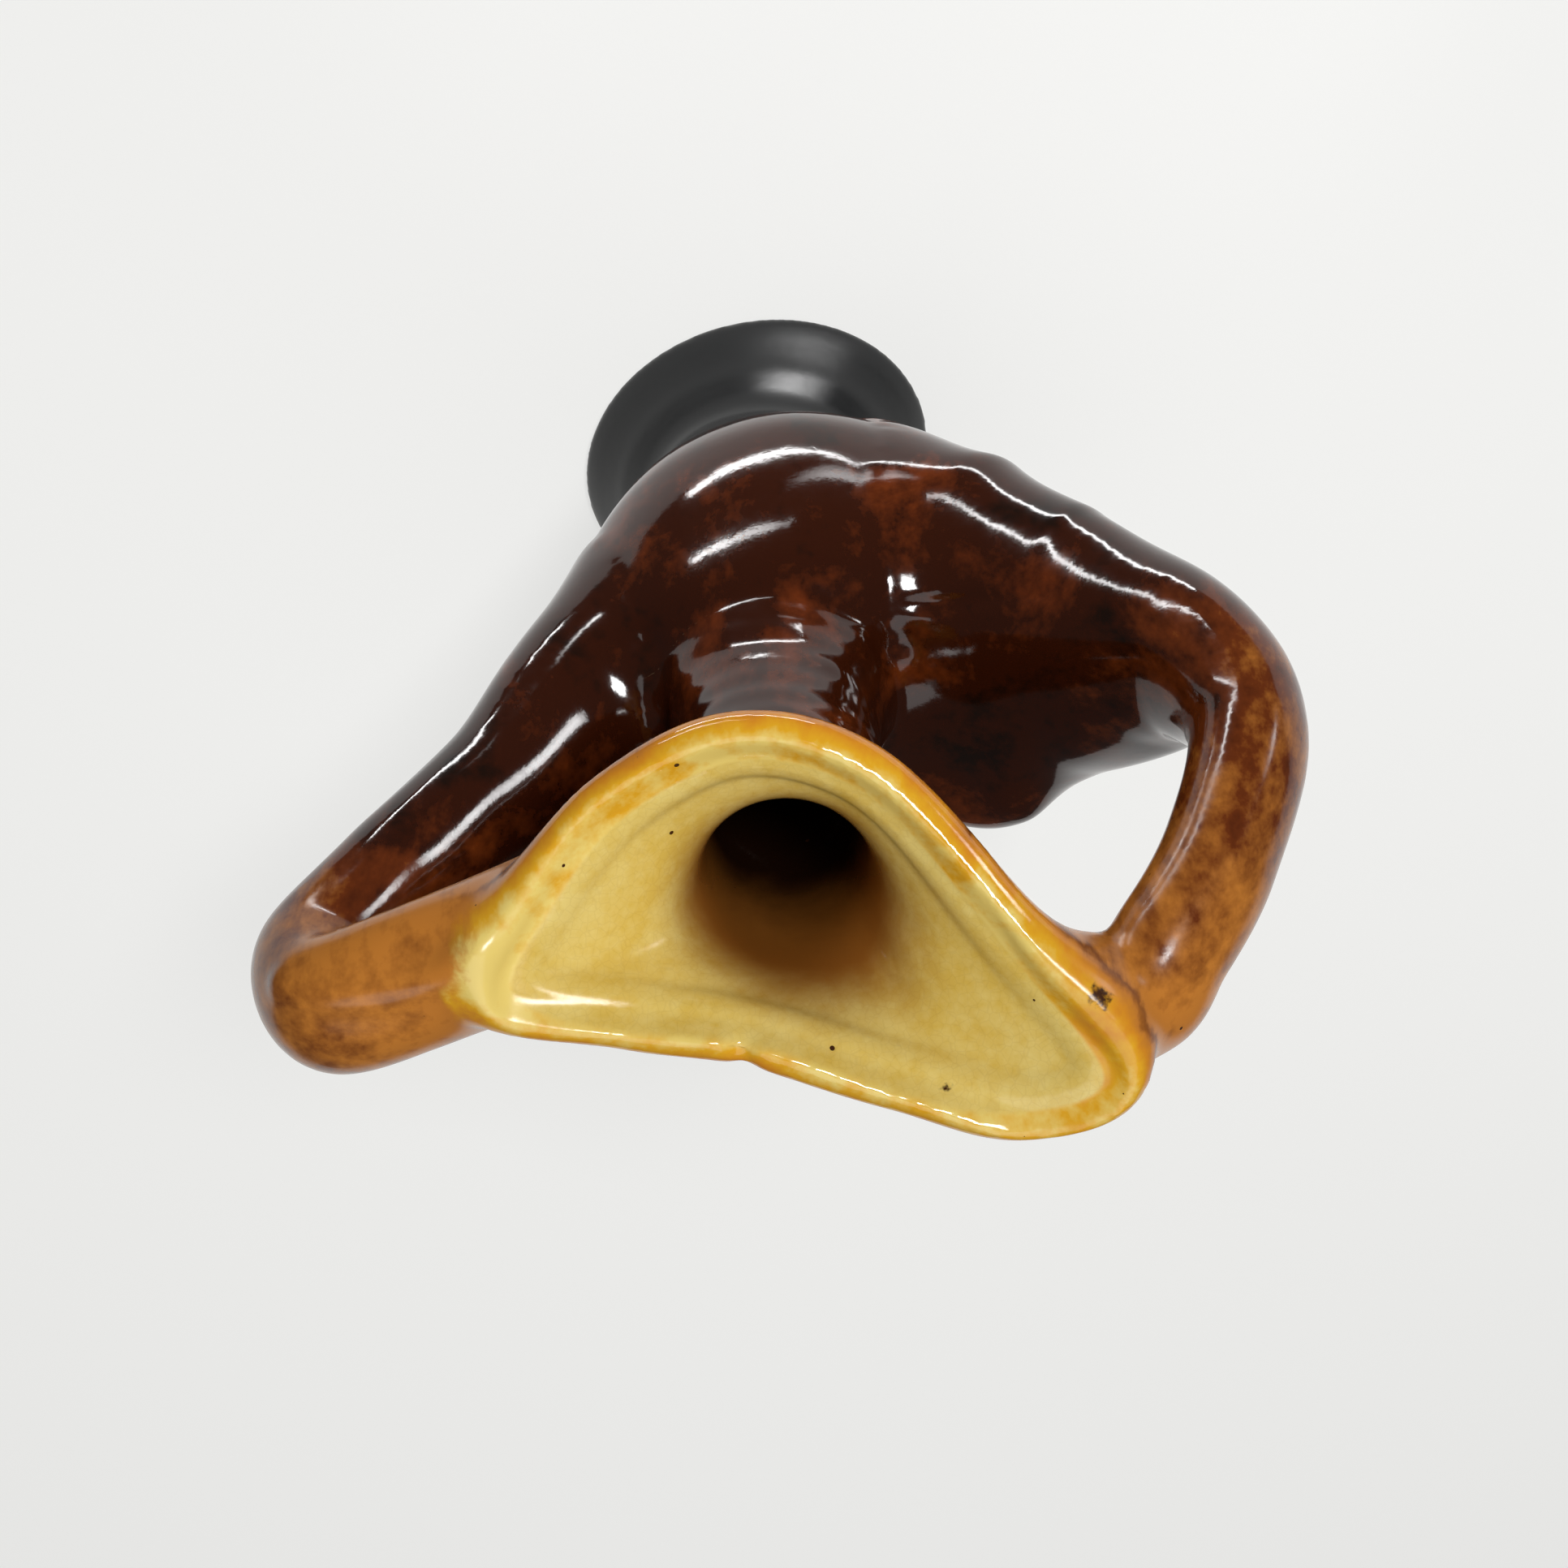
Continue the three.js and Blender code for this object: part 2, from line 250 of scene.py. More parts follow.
class VaseClay(bpy.types.PropertyGroup):
    """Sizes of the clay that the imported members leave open"""

    wall: size_property("Wall", "Thickness of the thrown wall", 5.5)
    rim_inside: size_property("Rim inside", "Reach of the rim towards the mouth", 2.75)
    rim_outside: size_property("Rim outside", "Reach of the rim away from the mouth", 4.6)
    rim_height: size_property("Rim height", "Height of the rim above the wall's edge", 7.4)
    arm_lute: size_property("Arm lute", "Width of the smoothed clay where an arm leaves the shoulder", 13)
    tip_lute: size_property("Tip lute", "Width of the smoothed clay where an arm meets the mouth", 12)
    rim_lute: size_property("Rim lute", "Width of the smoothed clay under the rim", 2.5)
    wobble: size_property("Wobble", "Unevenness left by the hands", 0.12)
    grain: size_property("Grain", "Fineness to which the clay is fused", 0.8)
    smoothing: IntProperty(name="Smoothing", description="Passes of the wet sponge", default=24, min=0)


class VaseGlaze(bpy.types.PropertyGroup):
    """Colours of the glazes"""

    black: colour_property("Black", "Glaze pooled on the foot", "0f1011")
    treacle: colour_property("Treacle", "Main brown of the body", "2e1004")
    # This colour also paints the shade deep in the throat
    treacle_dark_and_throat_shade: colour_property("Dark treacle", "Thick, nearly black patches", "180a04")
    treacle_red: colour_property("Red treacle", "Thin, redder patches", "5e280c")
    amber: colour_property("Amber", "Arms towards the mouth", "b9742c")
    amber_dark: colour_property("Dark amber", "Streaks on the arms", "5f2a0d")
    orange: colour_property("Orange", "Outer edge of the rim", "cc8420")
    yellow: colour_property("Yellow", "Top of the rim", "d69f22")
    cream: colour_property("Cream", "Inner edge of the rim", "e0c66e")
    honey: colour_property("Honey", "Inside of the mouth", "cfae50")
    honey_pale: colour_property("Pale honey", "Cream patches inside the mouth", "dac272")
    toffee: colour_property("Toffee", "Inside of the mouth towards the neck", "86521e")
    speck: colour_property("Specks", "Iron specks and burnt marks", "3c1f0c")


class VaseStage(bpy.types.PropertyGroup):
    """Floor, lamps and camera"""

    floor: colour_property("Floor", "Pale cloth that the vase stands on", "f7f7f5")
    backdrop: colour_property("Backdrop", "Wall behind the table, as the camera sees it", "eeeeec")
    glow: level_property("Floor white", "Share of the floor shown at full white", 0.7)
    world: level_property("Room light", "Level of the even light of the room", 0.08)
    lens: level_property("Lens", "Focal length in mm on a 36 mm square sensor", 38.59)
    roll: FloatProperty(
        name="Roll",
        description="Turn of the camera about its line of sight",
        default=math.radians(176.1),
        subtype="ANGLE",
    )


def smooth_step(value, start, end):
    """0 before start, 1 past end, and an even rise between them, whichever of the two is larger."""
    share = np.clip((value - start) / (end - start), 0, 1)
    return share * share * (3 - 2 * share)


def curve_through(points, places, closed=False):
    """Points on a smooth centripetal curve through the given points, at places from 0 to 1."""
    points = np.asarray(points, float)
    first, last = points[-1:], points[:2]
    if not closed:
        first, last = [2 * points[0] - points[1]], [2 * points[-1] - points[-2]]
    padded = np.concatenate([first, points, last])
    segments = len(padded) - 3
    along = np.clip(np.asarray(places, float), 0, 1) * segments
    index = np.minimum(along.astype(int), segments - 1)
    t = (along - index)[:, None]
    before, start, end, after = (padded[index + k] for k in range(4))
    spans = ((before, start), (start, end), (end, after))
    steps = [np.linalg.norm(b - a, axis=1)[:, None] ** 0.5 for a, b in spans]
    d0, d1, d2 = (np.maximum(step, 1e-4) for step in steps)
    leave = ((start - before) / d0 - (end - before) / (d0 + d1) + (end - start) / d1) * d1
    arrive = ((end - start) / d1 - (after - start) / (d1 + d2) + (after - end) / d2) * d1
    square, cube = t * t, t * t * t
    return (
        (2 * cube - 3 * square + 1) * start
        + (cube - 2 * square + t) * leave
        + (3 * square - 2 * cube) * end
        + (cube - square) * arrive
    )


def unit(vectors):
    """Vectors scaled to length one."""
    return vectors / np.linalg.norm(vectors, axis=-1, keepdims=True)


def node_points(node):
    """Corners of a packed member in millimetres."""
    return read(frame["nodes"][node].data.vertices, "co", 3) / MM


def thrown_sections():
    """Half width, half depth, middle x and y and height of every ring from the base to the neck's top."""
    rows = []
    for node in ("base_slab", "foot_flare", "body", "neck"):
        points = node_points(node)
        for level in np.unique(points[:, 2].round(2)):
            ring = points[np.abs(points[:, 2] - level) < 0.02]
            low, high = ring.min(0), ring.max(0)
            half, middle = (high - low) / 2, (high + low) / 2
            rows.append((half[0], half[1], middle[0], middle[1], level))
    return np.array(rows)


class Vessel:
    """The thrown and pulled wall: rings from the base, up the outside, over the rim and down the inside"""

    def __init__(self, clay):
        self.wall = clay.wall / MM
        self.sections = thrown_sections()
        self.neck_root = node_points("neck")[:, 2].min()
        self.funnel_foot = node_points("mouth_funnel")[:, 2].min()
        self.base_top = node_points("base_slab")[:, 2].max()
        self.neck_radius, _, centre_x, centre_y, _ = self.sections[-1]
        self.funnel_centre = np.array((centre_x, centre_y, self.funnel_foot))
        self.set_rim_stations()
        turn = np.arctan2(self.radial[:, 1], self.radial[:, 0])
        self.round = np.stack([np.cos(turn), np.sin(turn)], 1)
        levels = curve_through(self.sections, np.linspace(0, 1, 420))
        self.outer_levels = levels[levels[:, 4] <= self.funnel_foot]

    def set_rim_stations(self):
        """Places round the rim, the way along it, up the wall and out of it, and the wall's foot below."""
        outline = np.array(list(RIM_OUTLINE.values()), float) + (0, 0, self.funnel_foot)
        fine = curve_through(outline, np.linspace(0, 1, 4000), closed=True)
        length = np.concatenate([[0], np.cumsum(np.linalg.norm(np.diff(fine, axis=0), axis=1))])
        even = np.linspace(0, length[-1], AROUND, endpoint=False)
        self.point = np.stack([np.interp(even, length, fine[:, k]) for k in range(3)], 1)
        self.along = unit(np.roll(self.point, -1, 0) - np.roll(self.point, 1, 0))
        radial = self.point - self.funnel_centre
        radial[:, 2] = 0
        reach = np.linalg.norm(radial, axis=1)
        self.radial = unit(radial)
        middle = self.neck_radius - self.wall / 2
        self.foot = self.funnel_centre + self.radial * middle
        flare = np.arctan2(reach - middle, self.point[:, 2] - self.funnel_foot) + math.radians(FLARE_TURN)
        self.climb = self.radial * np.sin(flare)[:, None] + np.cos(flare)[:, None] * np.array((0, 0, 1))
        self.up = unit(self.climb - self.along * (self.climb * self.along).sum(1)[:, None])
        self.out = np.cross(self.along, self.up)

    def thrown_ring(self, section, inset=0, slope=(0, 0)):
        """Ring of the thrown wall, drawn in square to its slope."""
        half = np.array([section[k] - inset * math.hypot(1, slope[k]) for k in (0, 1)])
        ring = self.round * half + section[2:4]
        return np.column_stack([ring, np.full(len(ring), section[4])])

    def funnel_ring(self, share, offset):
        """Ring of the funnel at a share of the way from the neck to the rim, off the middle of its wall."""
        bend = FUNNEL_BEND * np.linalg.norm(self.point - self.foot, axis=1)[:, None]
        upright = np.array((0, 0, 1))
        handles = (self.foot, self.foot + bend * upright, self.point - bend * self.climb, self.point)
        rest = 1 - share
        weights = (rest ** 3, 3 * rest * rest * share, 3 * rest * share * share, share ** 3)
        place = sum(w * h for w, h in zip(weights, handles))
        slopes = (rest * rest, 2 * rest * share, share * share)
        climb = sum(s * (b - a) for s, a, b in zip(slopes, handles, handles[1:]))
        level = np.column_stack([-self.radial[:, 1], self.radial[:, 0], np.zeros(len(self.radial))])
        along = level + (self.along - level) * share ** 2
        return place + unit(np.cross(along, climb)) * offset

    def slopes(self):
        """Change of half width and half depth with height at each level."""
        levels = self.outer_levels
        return np.stack([np.gradient(levels[:, k], levels[:, 4]) for k in (0, 1)], 1)

    def wall_rings(self):
        """Every ring of the closed wall, from the underside to the floor inside."""
        shares = np.linspace(0, 1, 60)[1:]
        half = self.wall / 2
        rings = [self.thrown_ring(section) for section in self.outer_levels]
        rings += [self.funnel_ring(share, half) for share in shares]
        rings += [self.funnel_ring(share, -half) for share in shares[::-1]]
        inside = zip(self.outer_levels[::-1], self.slopes()[::-1])
        rings += [self.thrown_ring(s, self.wall, slope) for s, slope in inside if s[4] > self.base_top]
        floor = rings[-1].copy()
        floor[:, 2] = self.base_top
        return rings + [floor]

    def filled_rings(self, lid):
        """The vessel filled solid up to the middle of its wall, with a straight column above the mouth."""
        rings = [
            self.thrown_ring(s, self.wall / 2, slope)
            for s, slope in zip(self.outer_levels, self.slopes())
            if s[4] > self.wall / 2
        ]
        rings += [self.funnel_ring(share, 0) for share in np.linspace(0, 1, 60)[1:]]
        return rings + [self.point + (0, 0, lid)]

    def rim_rings(self, clay):
        """The rim's section carried round the mouth: a crisp edge inside and a soft one outside."""
        inside, outside, height = clay.rim_inside / MM, clay.rim_outside / MM, clay.rim_height / MM
        section = np.array((
            (-inside, -2.5),
            (-inside, 0.4 * height),
            (-inside, height - 1.0),
            (-inside + 0.25, height - 0.3),
            (-inside + 0.9, height),
            (0, height + 0.25),
            (0.45 * outside, height - 0.15),
            (0.8 * outside, height - 1.5),
            (outside, 0.5 * height),
            (0.85 * outside, 0.15 * height),
            (0.45 * outside, -1.2),
            (0, -2.5),
        ))
        fine = curve_through(section, np.linspace(0, 1, 84, endpoint=False), closed=True)
        behind = (self.point - self.point[0]) @ np.array(RIM_BACK["way"])
        back = smooth_step(behind, RIM_BACK["start"], RIM_BACK["end"])
        corner = np.zeros(len(self.point))
        for name in ("left_corner", "right_corner"):
            away = np.linalg.norm((self.point - RIM_OUTLINE[name])[:, :2], axis=1)
            corner = np.maximum(corner, np.exp(-(away / RIM_CORNER["reach"]) ** 2))
        rise = 1 - RIM_BACK["lower"] * back
        spread = (1 - RIM_BACK["slimmer"] * back) * (1 - RIM_CORNER["slimmer"] * corner)
        return [
            self.point
            + self.out * (across * (spread if across > 0 else np.ones(AROUND)))[:, None]
            + self.up * (above * rise)[:, None]
            for across, above in fine
        ]


def arm_course(vessel, lower, upper, corner):
    """Middle, half sizes and twist of an arm at even shares of its way from the body to the mouth."""
    x, y, rise = RIM_OUTLINE[corner]
    stations = [(px, py, vessel.neck_root + pz, *section) for px, py, pz, *section in lower]
    stations += [(px, py, vessel.funnel_foot + pz, *section) for px, py, pz, *section in upper]
    share, drop = ARM_JOIN["share"], ARM_JOIN["drop"]
    sizes = (ARM_JOIN["half_thick"], ARM_JOIN["half_depth"], 0)
    stations.append((x * share, y * share, vessel.funnel_foot + rise - drop, *sizes))
    share, radius = ARM_TIP["share"], ARM_TIP["radius"]
    stations.append((x * share, y * share, vessel.funnel_foot + ARM_TIP["rise"], radius, radius, 0))
    stations = np.array(stations, float)
    places = np.linspace(0, 1, ARM_RINGS)
    return curve_through(stations[:, :3], places), curve_through(stations[:, 3:], places)


def arm_rings(course, sections):
    """Oval sections square to the arm's way, with their depth kept close to the Y axis."""
    along = unit(np.gradient(course, axis=0))
    level = unit(np.array((0, 1, 0)) - along * along[:, 1:2])
    twist = -np.radians(sections[:, 2:3])
    deep = level * np.cos(twist) + np.cross(along, level) * np.sin(twist)
    across = np.cross(deep, along)
    rings = []
    for angle in np.linspace(0, 2 * math.pi, ARM_SIDES, endpoint=False):
        side = across * sections[:, 0:1] * math.cos(angle) + deep * sections[:, 1:2] * math.sin(angle)
        rings.append(course + side)
    return np.swapaxes(np.array(rings), 0, 1)


class ClayGrid:
    """A box of cells round the vase that holds the distance to each clay form"""

    def __init__(self, grain, low, high, reach):
        self.grain = grain
        self.reach = reach
        self.low = np.floor((np.asarray(low) - reach) / grain).astype(int)
        self.shape = tuple(np.ceil((np.asarray(high) + reach) / grain).astype(int) - self.low)
        self.transform = openvdb.createLinearTransform(grain)

    def distance(self, rings, closed=False):
        """Distance to the solid through the rings, negative inside it."""
        rings = np.asarray(rings, float)
        count, sides = rings.shape[:2]
        points = rings.reshape(-1, 3)
        lower = np.arange(count if closed else count - 1)[:, None]
        side = np.arange(sides)[None, :]
        upper, after = (lower + 1) % count, (side + 1) % sides
        corners = (lower * sides + side, lower * sides + after, upper * sides + after, upper * sides + side)
        quads = np.stack(corners, -1).reshape(-1, 4)
        triangles = np.zeros((0, 3), int)
        if not closed:
            first, turn = np.arange(sides), (np.arange(sides) + 1) % sides
            last = (count - 1) * sides
            bottom = np.stack([np.full(sides, len(points)), turn, first], 1)
            top = np.stack([np.full(sides, len(points) + 1), last + first, last + turn], 1)
            triangles = np.concatenate([bottom, top])
            points = np.concatenate([points, [rings[0].mean(0), rings[-1].mean(0)]])
        return self.measure(points, quads, triangles)

    def measure(self, points, quads, triangles):
        """Distance to a closed skin, negative inside it."""
        solid = openvdb.FloatGrid.createLevelSetFromPolygons(
            np.asarray(points, np.float32),
            triangles=np.asarray(triangles, np.uint32),
            quads=np.asarray(quads, np.uint32),
            transform=self.transform,
            halfWidth=self.reach / self.grain,
        )
        field = np.empty(self.shape, np.float32)
        solid.copyToArray(field, ijk=tuple(int(v) for v in self.low))
        return field

    def trim(self, field, other):
        """Distance to a form after the other one is taken out of it."""
        return self.measure(*self.surface(np.maximum(field, -other)), np.zeros((0, 3), int))

    def surface(self, field, step=1):
        """Corners and quads of the skin where the field is zero."""
        closed = field[::step, ::step, ::step].copy()
        for axis in range(3):
            ends = np.moveaxis(closed, axis, 0)
            ends[0] = ends[-1] = self.reach
        skin = openvdb.FloatGrid(self.reach)
        skin.copyFromArray(closed)
        points, quads = skin.convertToQuads()
        return (points * step + self.low) * self.grain, quads

    def sample(self, field, points):
        """Field between its cells at points in millimetres."""
        place = np.clip(np.asarray(points) / self.grain - self.low, 0, np.array(self.shape) - 1.001)
        cell = place.astype(int)
        part = place - cell
        total = np.zeros(len(place))
        for corner in np.ndindex(2, 2, 2):
            weight = np.prod(np.where(corner, part, 1 - part), axis=1)
            i, j, k = (cell + corner).T
            total += weight * field[i, j, k]
        return total

    def axes(self):
        """Millimetre coordinates of the cells along each axis, ready to spread over the box."""
        spans = [(np.arange(n) + start) * self.grain for n, start in zip(self.shape, self.low)]
        return spans[0][:, None, None], spans[1][None, :, None], spans[2][None, None, :]

    def lute_width(self, clay, filled, vessel):
        """Width of the fillet round the arms: broad on the shoulder, slim at the mouth, none inside."""
        height = self.axes()[2]
        rise = smooth_step(height, vessel.neck_root + 25, vessel.funnel_foot + 4)
        width = (clay.arm_lute + (clay.tip_lute - clay.arm_lute) * rise) / MM
        return (width * np.clip((filled + 0.5) / 4, 0, 1)).astype(np.float32)

    def wobble(self, size):
        """Slow rise and fall of a hand-built wall, none on the underside."""
        x, y, z = self.axes()
        waves = (
            np.sin(x / 5.1 + z / 9.7) * np.cos(y / 6.3 - z / 11.9)
            + 0.7 * np.sin(y / 4.3 + z / 5.7 + 1.3)
            + 0.6 * np.cos(x / 3.9 - y / 7.1 + z / 8.3)
        )
        return (size * 0.5 * waves * smooth_step(z, 5, 25)).astype(np.float32)

    def throwing_rings(self, filled, vessel):
        """Ripples on the outside of the neck."""
        x, y, z = self.axes()
        near = smooth_step(np.hypot(x - vessel.funnel_centre[0], y - vessel.funnel_centre[1]), 34, 26)
        span = smooth_step(z, vessel.neck_root - 8, vessel.neck_root + 4)
        span = span * smooth_step(z, THROWING_RING["end"], THROWING_RING["fade"])
        ripple = THROWING_RING["depth"] * np.sin(z * (2 * math.pi / THROWING_RING["height"]) + 0.15 * x)
        return (ripple * near * span * np.clip(filled / 2, 0, 1)).astype(np.float32)

    def press(self, field, path, width, depth):
        """Presses a groove along a path into the clay, or raises a ridge where the depth is negative."""
        path = curve_through(path, np.linspace(0, 1, 24))
        low = np.floor((path.min(0) - 2.5 * width) / self.grain).astype(int) - self.low
        high = np.ceil((path.max(0) + 2.5 * width) / self.grain).astype(int) - self.low
        low, high = np.clip(low, 0, self.shape), np.clip(high, 0, self.shape)
        spans = [(np.arange(a, b) + s) * self.grain for a, b, s in zip(low, high, self.low)]
        cells = np.stack(np.meshgrid(*spans, indexing="ij"), -1)
        window = tuple(slice(a, b) for a, b in zip(low, high))
        field[window] += depth * np.exp(-((distance_to_path(cells, path) / width) ** 2))


def distance_to_path(places, path):
    """Distance from each place to the nearest point of a path."""
    away = np.linalg.norm(places - path[0], axis=-1)
    for start, end in zip(path, path[1:]):
        run = end - start
        share = np.clip((places - start) @ run / (run @ run), 0, 1)
        away = np.minimum(away, np.linalg.norm(places - start - share[..., None] * run, axis=-1))
    return away


def skin_normals(points, quads):
    """Outward normal at every corner of the skin."""
    across = np.cross(points[quads[:, 2]] - points[quads[:, 0]], points[quads[:, 3]] - points[quads[:, 1]])
    corners, shares = quads.T.ravel(), np.tile(across, (4, 1))
    return unit(np.stack([np.bincount(corners, shares[:, k], len(points)) for k in range(3)], 1))


def mark_skin(points, quads):
    """Works the finger marks into the sponged skin."""
    normals = skin_normals(points, quads)
    marked = points.copy()
    for path, width, depth in FINGER_MARKS:
        path = np.asarray(path, float)
        if len(path) > 1:
            path = curve_through(path, np.linspace(0, 1, 24))
        near = ((points > path.min(0) - 3 * width) & (points < path.max(0) + 3 * width)).all(1)
        dent = depth * np.exp(-((distance_to_path(points[near], path) / width) ** 2))
        marked[near] -= normals[near] * dent[:, None]
    return marked


def fuse(one, other, width):
    """Distance to two forms luted together, with a fillet of the given width between them."""
    width = np.maximum(width, 1e-3)
    overlap = np.maximum(width - np.abs(one - other), 0)
    return np.minimum(one, other) - overlap * overlap / (4 * width)


def sponge(points, quads, passes, softness=1):
    """Evens out the skin by shrinking and swelling it in turn, less where the clay is to stay crisp."""
    edges = np.concatenate([quads[:, [0, 1]], quads[:, [1, 2]], quads[:, [2, 3]], quads[:, [3, 0]]])
    ends = np.concatenate([edges, edges[:, ::-1]])
    degree = np.bincount(ends[:, 0], minlength=len(points))[:, None]
    for step in SPONGE_STROKE * passes:
        sums = np.stack([np.bincount(ends[:, 0], points[ends[:, 1], k], len(points)) for k in range(3)], 1)
        points = points + step * softness * (sums / degree - points)
    return points


def new_object(name, data):
    """New object in the scene."""
    obj = bpy.data.objects.new(name, data)
    bpy.context.scene.collection.objects.link(obj)
    return obj


def mesh_object(name, points, faces):
    """New object from corners in millimetres and faces."""
    mesh = bpy.data.meshes.new(name)
    mesh.from_pydata((points * MM).tolist(), [], faces.tolist())
    mesh.validate()
    return new_object(name, mesh)


def box_object(name, low, high):
    """New box between two corners in millimetres, with its faces outwards."""
    picks = np.ndindex(2, 2, 2)
    corners = np.array([[(low, high)[end][k] for k, end in enumerate(pick)] for pick in picks], float)
    faces = np.array(((0, 1, 3, 2), (4, 6, 7, 5), (0, 4, 5, 1), (2, 3, 7, 6), (0, 2, 6, 4), (1, 5, 7, 3)))
    return mesh_object(name, corners, faces)


def cut(obj, cutter, operation):
    """Mesh of an object after one boolean cut."""
    tool = obj.modifiers.new("cut", "BOOLEAN")
    tool.object = cutter
    tool.operation = operation
    tool.solver = "MANIFOLD"
    tool.material_mode = "INDEX"
    bpy.context.view_layer.update()
    evaluated = obj.evaluated_get(bpy.context.evaluated_depsgraph_get())
    mesh = bpy.data.meshes.new_from_object(evaluated)
    obj.modifiers.remove(tool)
    return mesh


# What each step of the work leaves for the next
WORKSHOP = {}

# Options that many shader nodes share
SUM = {"operation": "MULTIPLY_ADD"}
SOFT = {"interpolation_type": "SMOOTHSTEP"}
COLOUR = {"data_type": "RGBA"}


def put(tree, kind, inputs=(), out=None, stops=(), **settings):
    """Adds a node, sets its options and colour stops, fills its inputs and returns one of its outputs."""
    node = tree.nodes.new(f"ShaderNode{kind}")
    for option, value in settings.items():
        setattr(node, option, value)
    for place, _ in stops[2:]:
        node.color_ramp.elements.new(place)
    for index, (place, colour) in enumerate(stops):
        node.color_ramp.elements[index].position = place
        node.color_ramp.elements[index].color = (*colour, 1)
    for socket, value in dict(inputs).items():
        if isinstance(value, bpy.types.NodeSocket):
            tree.links.new(value, node.inputs[socket])
        else:
            node.inputs[socket].default_value = value
    if out is not None:
        return node.outputs[out]
    return next((socket for socket in node.outputs if socket.enabled), None)


def per_metre(millimetres):
    """Scale of a pattern whose features are this wide."""
    return 1 / (millimetres * MM)


def new_material(name):
    """A material with an empty node tree, and the function that fills the tree."""
    material = bpy.data.materials.new(name)
    material.use_nodes = True
    material.node_tree.nodes.clear()
    return material, partial(put, material.node_tree)


